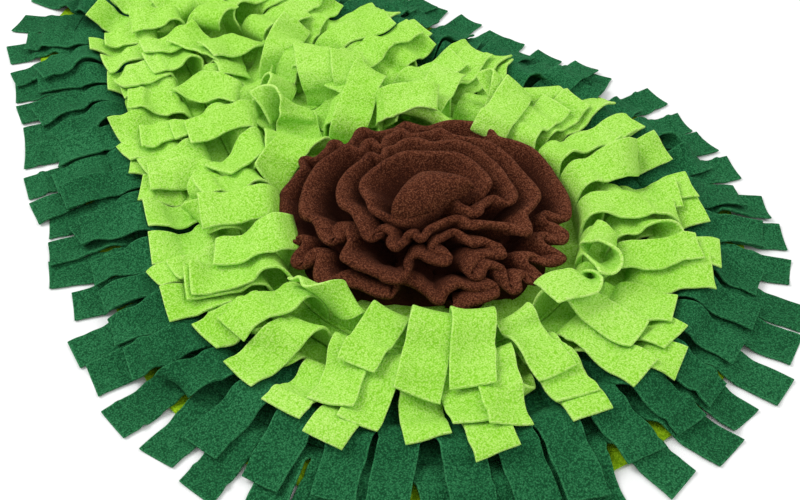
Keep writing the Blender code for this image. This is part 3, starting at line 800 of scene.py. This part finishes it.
def readLine(table, count):
    # A smooth line through the rows of a table, at evenly spaced places along it.
    fine = smoothWeights(len(table), np.linspace(0, 1, count * 4)) @ table
    place = np.concatenate([[0], np.cumsum(np.linalg.norm(np.diff(fine[:, :2], axis=0), axis=1))])
    at = np.linspace(0, place[-1], count)
    return np.stack([np.interp(at, place, column) for column in fine.T], axis=1), place[-1]


def nestedFold():
    # Points that are nearer than room but far apart along the line push away, neighbours keep their
    # distance and the line is smoothed, until the ruffles nest without touching.
    _, length = readLine(foldLine, 400)
    count = int(length / rosette["spacing"])
    table, _ = readLine(foldLine, count)
    line, height = table[:, :2].copy(), table[:, 2]
    home = line.copy()
    rest = length / (count - 1)
    for number in range(rosette["rounds"]):
        if number % 12 == 0:
            first, second = np.triu_indices(count, int(rosette["room"] * 1.5 / rosette["spacing"]))
            close = np.abs(line[first] - line[second]).max(axis=1) < rosette["room"] * 1.6
            first, second = first[close], second[close]
        apart = line[first] - line[second]
        distance = np.sqrt((apart**2).sum(-1)) + 1e-9
        push = rosette["apart"] * np.clip(rosette["room"] - distance, 0, None) / distance
        push = apart * push[:, None]
        for axis in (0, 1):
            pushed = push[:, axis]
            line[:, axis] += np.bincount(first, pushed, count) - np.bincount(second, pushed, count)
        line[1:-1] += rosette["smoothing"] * (0.5 * (line[2:] + line[:-2]) - line[1:-1])
        for start in (0, 1):
            b = line[start + 1::2]
            a = line[start::2][:len(b)]
            gap = b - a
            pull = gap * 0.5 * (1 - rest / (np.linalg.norm(gap, axis=1, keepdims=True) + 1e-9))
            a += pull
            b -= pull
        line += rosette["homing"] * (home - line)
    return line, height


def runningMean(values, reach):
    # Each value becomes a bell-weighted mean of its neighbours along the line.
    bell = np.exp(-0.5 * (np.arange(-3 * reach, 3 * reach + 1) / reach) ** 2)
    bell /= bell.sum()
    padded = np.concatenate([np.repeat(values[:1], 3 * reach, axis=0), values,
                             np.repeat(values[-1:], 3 * reach, axis=0)])
    return np.stack([np.convolve(column, bell, "valid") for column in padded.T], axis=1)


def rosetteShell(random):
    # Each turn rises from its seam, bends outwards over a shoulder and ends in the rounded fold: the way up
    # is a cubic curve on four corners (foot, above it, shoulder, fold). The two skins lie to both sides of it
    # along its normal, and the inside of the fold runs back between them. calm is the fold's way without its
    # ruffles, and droop is how far a petal hangs outwards, which is most at the front.
    line, height = nestedFold()
    place = np.concatenate([[0], np.cumsum(np.linalg.norm(np.diff(line, axis=0), axis=1))])
    at = np.linspace(0, place[-1], rosette["stations"])
    top = np.stack([np.interp(at, place, column) for column in (line[:, 0], line[:, 1], height)], axis=1)
    top = runningMean(top, 1)
    calm = runningMean(top[:, :2], int(petal["calmOver"] / at[1]))
    reach = np.hypot(calm[:, 0], calm[:, 1])[:, None]
    outward = calm / np.maximum(reach, 0.01)
    frontWay = np.radians(rosette["frontAngle"])
    facing = outward @ np.array([[math.cos(frontWay)], [math.sin(frontWay)]])
    droop = rosette["droopBehind"] + (1 - rosette["droopBehind"]) * eased(0.5 + 0.75 * facing)
    droop = droop * eased((reach - petal["droops"][0]) / petal["droops"][1])
    base = backingTop + 0.0005
    ends = eased(np.minimum(at, at[-1] - at) / petal["tapered"])[:, None]
    top[:, 2:] *= 0.75 + 0.25 * ends
    drawnIn = petal["shoulderIn"][0] + petal["shoulderIn"][1] * droop
    shoulder = np.hstack([petal["follows"] * top[:, :2] + (1 - petal["follows"]) * calm - outward * drawnIn,
                          top[:, 2:] + petal["shoulderRise"][0] + petal["shoulderRise"][1] * droop])
    # The turns at the rim are sewn nearer to it, so the ground doesn't show under them.
    inside = rosetteRim(calm)[:, None] - reach
    atRim = eased((petal["nearRim"][0] - inside) / petal["nearRim"][1])
    atRim = runningMean(atRim, int(petal["rimOver"] / at[1]))
    drawnIn = petal["footIn"][0] + petal["footIn"][1] * droop * (1 - 0.5 * atRim)
    foot = np.hstack([calm - outward * drawnIn, np.full((len(top), 1), base)])
    # The innermost turn closes over the middle.
    closing = eased((petal["closed"][0] - at) / petal["closed"][1])[:, None]
    foot[:, :2] += closing * (0.2 * calm - foot[:, :2])
    above = np.hstack([0.9 * foot[:, :2] + 0.1 * shoulder[:, :2], 0.5 * (base + shoulder[:, 2:])])
    corners = np.stack([foot, above, shoulder, top], axis=1)
    # Half the thickness of a petal and of the hollow in it, at shares of the way up.
    share = np.array([0, 0.14, 0.28, 0.42, 0.55, 0.67, 0.78, 0.87, 0.925, 0.955, 0.98, 0.994, 1.0])
    wide = np.array([18, 8.5, 5.0, 3.8, 3.3, 3.0, 2.8, 2.7, 2.6, 2.4, 1.85, 1.05, 0.4]) / 1000
    hollow = np.array([10, 4.6, 2.6, 1.8, 1.3, 1.0, 0.9, 0.8, 0.7, 0.5, 0.3, 0.12, 0.05]) / 1000
    within = np.minimum(share, 0.94)
    sectionShare = np.concatenate([share, share[::-1], within, within[::-1]])
    sectionSide = np.concatenate([-wide, wide[::-1], hollow, -hollow[::-1]])
    t = sectionShare
    weights = np.stack([(1 - t)**3, 3 * t * (1 - t)**2, 3 * t**2 * (1 - t), t**3])
    slopes = np.stack([-3 * (1 - t)**2, 3 * (1 - t) * (1 - 3 * t), 3 * t * (2 - 3 * t), 3 * t**2])
    surface = np.einsum("ukc,kt->utc", corners, weights)
    normal = np.cross(np.gradient(surface, axis=0), np.einsum("ukc,kt->utc", corners, slopes))
    normal = runningMean(normal.reshape(len(top), -1), 1).reshape(normal.shape)
    normal /= np.linalg.norm(normal, axis=-1, keepdims=True) + 1e-12
    # The cloth of the petals is a little uneven.
    uneven = runningMean(random.normal(0, 1, (len(top), 4)), int(petal["unevenOver"] / at[1]))
    uneven = uneven / uneven.std() @ smoothWeights(4, sectionShare).T
    points = surface + normal * (sectionSide[None, :, None] + petal["uneven"] * uneven[..., None])
    points[..., 2] = np.maximum(points[..., 2], base)
    points[..., :2] += rosetteCentre
    length = float(np.linalg.norm(np.diff(top, axis=0), axis=1).sum())
    rise = np.linalg.norm(np.diff(surface[:, :len(share)], axis=1), axis=2).sum(axis=1).mean()
    # Painted shade: from the fold down, the brown fleece darkens each petal towards its foot, where the
    # creases between turns lie.
    creaseShadeFade = np.broadcast_to(eased((sectionShare - 0.35) / 0.6), points.shape[:2])
    return points, creaseShadeFade, (length, 2 * float(rise))


def heartShell():
    # A flat puffy fold: across from its back edge to its front edge the two skins swell apart and close.
    table, _ = readLine(heart, 60)
    back, front = table[:, :3], table[:, 3:]
    share = np.linspace(0, 1, 14)
    swell = np.clip(1 - np.abs(2 * share - 1) ** 3, 0, 1) ** 0.5 + 0.08
    ends = np.clip(np.minimum(np.arange(60), np.arange(60)[::-1]) / 7, 0, 1)
    half = rosette["heartThick"] / 2 * (0.25 + 0.75 * np.sqrt(1 - (1 - ends) ** 2))
    surface = back[:, None] + (front - back)[:, None] * share[None, :, None]
    surface[..., 2] += 0.006 * 4 * (share * (1 - share))[None, :]
    lift = half[:, None] * swell[None, :]
    top, bottom = surface.copy(), surface[:, ::-1].copy()
    top[..., 2] += lift
    bottom[..., 2] -= lift[:, ::-1]
    points = np.concatenate([top, bottom], axis=1)
    points[..., :2] += rosetteCentre
    return points


pile = Pile()
random = np.random.default_rng(5)
for bandName, bandRow in bandRows.items():
    bandRoots, bandHeadings, bandPitch, bandRadius = ringPlaces(bandRow["inset"], bandRow["count"])
    if "inwards" in bandRow:
        # The ring's strips spring from inside its seam. Two of three beside the neck fall inwards, over the
        # ground between the ring and the rows.
        outwards = np.stack([np.cos(bandHeadings), np.sin(bandHeadings)], axis=1)
        bandRoots = bandRoots - bandRow["sprungInside"] * outwards
        ahead = bandRoots[:, 1] - wideY
        low, high = bandRow["inwards"]
        beside = (ahead > low) & (ahead < high) & (np.arange(len(bandRoots)) % 3 > 0)
        bandHeadings = bandHeadings + np.where(beside, math.pi, 0)
    dressBand(bandName, bandRow, bandRoots, bandHeadings, random, pile, bandPitch, bandRadius)
for number in reversed(range(neckRows["rows"])):
    y = wideY + neckRows["first"] + number * neckRows["apart"]
    halfWidth = flankHalfWidth(neckRows["seamInset"], y) - neckRows["sideClear"]
    inRow = max(1, int(2 * halfWidth / neckRows["pitch"]))
    x = middleX + (np.arange(inRow) - (inRow - 1) / 2) * neckRows["pitch"]
    turned = np.where(random.random(inRow) < neckRows["backwards"], -1, 1)
    aside = np.clip((x - middleX) / halfWidth + random.uniform(-0.4, 0.4, inRow), -1, 1)
    neckRow = dict(neckRows, header=neckRows["firstHeader"]) if number == 0 else neckRows
    dressBand(f"neck_fringe_{number + 1:02d}", neckRow, np.stack([x, np.full(inRow, y)], axis=1),
              turned * (math.pi / 2 - np.radians(neckRows["sideTurn"] * aside)), random, pile)

shell, creaseShadeFade, rosetteFlat = rosetteShell(random)
heartPoints = heartShell()
shells = [(part.reshape(-1, 3), tubeQuads(*part.shape[:2]), share.reshape(-1))
          for part, share in ((shell, creaseShadeFade), (heartPoints, np.ones(heartPoints.shape[:2])))]
rosettePiece = meshPiece("pit_rosette_cloth", *joined(shells), materials["brown_fleece"])
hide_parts("pit_rosette")
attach(rosettePiece, bodyName)
report("rosette")

backingSheet = {"around": 420, "waver": 0.0005}


def dressBacking(random):
    # The backing cloth as it was cut: its outline wavers a little and its edge is rounded.
    outline, angles, _, _ = ringPlaces(matPlan["backingInset"], backingSheet["around"])
    out = np.stack([np.cos(angles), np.sin(angles)], axis=1)
    waver = runningMean(random.normal(0, 1, (backingSheet["around"], 1)), 4)
    waver = backingSheet["waver"] * (waver / waver.std()) * np.sin(np.linspace(0, np.pi, len(waver)))[:, None]
    low, high = backingLow[2] + 0.0001, backingTop - 0.0001
    section = [(0.004, low), (0.0012, low), (0.0003, low + 0.0006), (0, (low + high) / 2),
               (0.0003, high - 0.0006), (0.0012, high), (0.004, high)]
    count = len(outline)
    rings = [np.hstack([outline + out * (waver - inset), np.full((count, 1), z)]) for inset, z in section]
    faces = [(k * count + i, k * count + (i + 1) % count, (k + 1) * count + (i + 1) % count,
              (k + 1) * count + i) for k in range(len(rings) - 1) for i in range(count)]
    faces.append(tuple(range(count - 1, -1, -1)))
    faces.append(tuple(range((len(rings) - 1) * count, len(rings) * count)))
    mesh = bpy.data.meshes.new("backing_sheet")
    mesh.from_pydata(np.concatenate(rings).tolist(), [], faces)
    mesh.materials.append(materials["backing_cloth"])
    piece = added("backing_sheet", mesh)
    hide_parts("backing")
    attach(piece, bodyName)


dressBacking(random)
report("backing")

bpy.context.scene.view_settings.view_transform = "Standard"
bpy.context.scene.view_settings.look = "None"
cameraPlan = {"azimuth": -37.5528, "elevation": 44.0207, "distance": 0.7351, "lens": 50.50,
              "targetX": -0.0209, "targetY": 0.0062}


def placeCamera():
    azimuth, elevation = math.radians(cameraPlan["azimuth"]), math.radians(cameraPlan["elevation"])
    back = np.array([math.sin(azimuth) * math.cos(elevation), -math.cos(azimuth) * math.cos(elevation),
                     math.sin(elevation)])
    target = np.array([middleX + cameraPlan["targetX"], wideY + cameraPlan["targetY"], 0.0])
    data = bpy.data.cameras.new("camera")
    data.lens = cameraPlan["lens"]
    data.sensor_width = 36.0
    data.clip_start = 0.01
    camera = added("camera", data)
    camera.location = target + back * cameraPlan["distance"]
    camera.rotation_euler = (math.pi / 2 - elevation, 0.0, azimuth)
    bpy.context.scene.camera = camera


def placeFloor():
    size = 6.0
    mesh = bpy.data.meshes.new("floor")
    mesh.from_pydata([(-size, -size, -0.0002), (size, -size, -0.0002), (size, size, -0.0002),
                      (-size, size, -0.0002)], [], [(0, 1, 2, 3)])
    shade = Shading("floor_white")
    surface = shade.node("ShaderNodeBsdfPrincipled", Base_Color=(0.92, 0.92, 0.92, 1), Roughness=0.9)
    surface.inputs["Specular IOR Level"].default_value = 0.1
    shade.node("ShaderNodeOutputMaterial", Surface=shade.out(surface))
    mesh.materials.append(shade.material)
    added("floor", mesh)


def placeLight(name, energy, size, place, aim):
    data = bpy.data.lights.new(name, "AREA")
    data.energy, data.size = energy, size
    lamp = added(name, data)
    lamp.location = place
    direction = np.array(aim) - np.array(place)
    flat = math.hypot(direction[0], direction[1])
    lamp.rotation_euler = (math.atan2(flat, -direction[2]), 0.0,
                           math.atan2(direction[1], direction[0]) - math.pi / 2)


placeCamera()
placeFloor()
placeLight("key", 25.0, 1.1, (-0.9, 0.9, 1.7), (0.0, 0.0, 0.0))
placeLight("fill", 11.5, 1.6, (0.9, -1.0, 1.5), (0.0, 0.0, 0.0))
world = bpy.data.worlds.new("studio")
world.use_nodes = True
world.node_tree.nodes["Background"].inputs["Color"].default_value = (1, 1, 1, 1)
world.node_tree.nodes["Background"].inputs["Strength"].default_value = 0.63
bpy.context.scene.world = world

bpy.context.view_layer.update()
report("scene")
